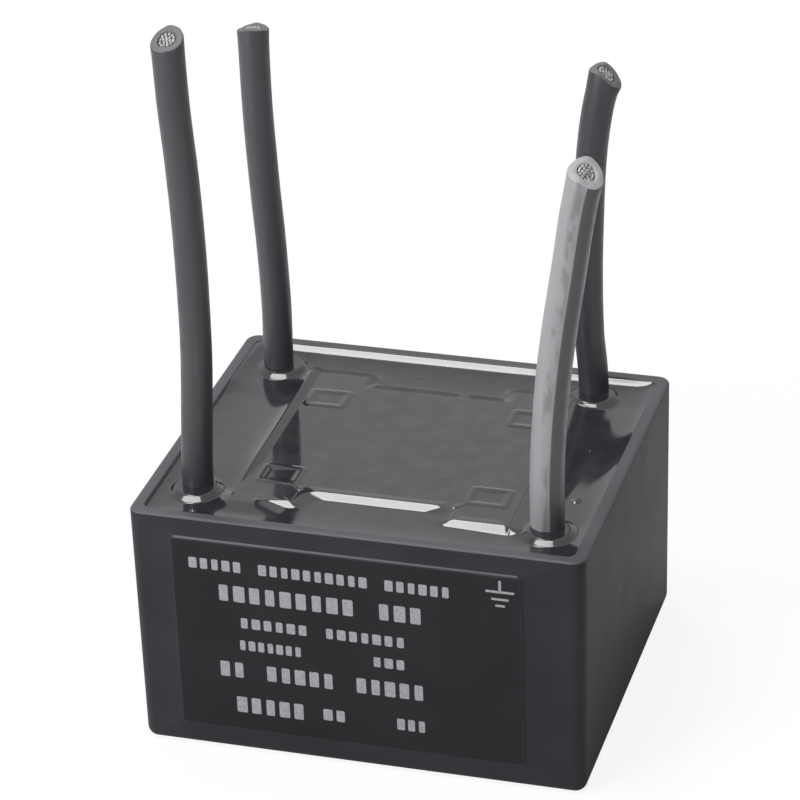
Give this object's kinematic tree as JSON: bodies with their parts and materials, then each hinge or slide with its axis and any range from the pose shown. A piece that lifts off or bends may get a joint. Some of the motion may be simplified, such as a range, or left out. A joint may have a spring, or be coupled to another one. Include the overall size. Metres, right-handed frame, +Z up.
{
  "type": "surge protector",
  "caption": "Potted surge protector block: an open-topped moulded case filled with resin over its varistors, thermal fuses and gas tube, with upright wire leads cut square or slanting.",
  "frame": {"origin": "centre of the case's flat underside", "axes": "+X to the right along the case's longest side as seen facing the front face with the label panel, +Y to the back, +Z up from the underside to the open rim, the case's shortest side"},
  "size_m": [0.0531, 0.0452, 0.0852],
  "materials": {
    "case": "fine moulded satin, dark grey",
    "resin": "self-levelled gloss potting resin, near black",
    "board": "glass-fibre laminate under clear resin",
    "holder": "moulded, wetted by the resin",
    "varistor_coating": "dipped epoxy coating on a ceramic disc",
    "pins": "tinned copper wire",
    "fuse_body": "moulded",
    "tube_ceramic": "fired alumina",
    "tube_electrode": "plated",
    "line_lead_jacket": "extruded PVC, dark grey",
    "earth_lead_jacket": "extruded PVC, two greys along its length",
    "lead_wire": "tinned copper strands",
    "solder": "bright solder"
  },
  "bodies": {
    "root": {"case": "case", "potting_resin": "resin", "wiring_board": "board", "element_holder": "holder", "holder_lid": "holder", "varistor_1": "varistor_coating", "varistor_2": "varistor_coating", "varistor_3": "varistor_coating", "varistor_pins_1": "pins", "varistor_pins_2": "pins", "varistor_pins_3": "pins", "thermal_fuse_1": "fuse_body", "thermal_fuse_2": "fuse_body", "thermal_fuse_3": "fuse_body", "fuse_pins_1": "pins", "fuse_pins_2": "pins", "fuse_pins_3": "pins", "gas_tube_ceramic": "tube_ceramic", "gas_tube_line_electrode": "tube_electrode", "gas_tube_earth_electrode": "tube_electrode", "gas_tube_pins": "pins", "line_lead_1_jacket": "line_lead_jacket", "line_lead_2_jacket": "line_lead_jacket", "line_lead_3_jacket": "line_lead_jacket", "earth_lead_jacket": "earth_lead_jacket", "line_lead_1_wire": "lead_wire", "line_lead_2_wire": "lead_wire", "line_lead_3_wire": "lead_wire", "earth_lead_wire": "lead_wire", "lead_solder": "solder", "component_solder": "solder"}
  },
  "joints": []
}
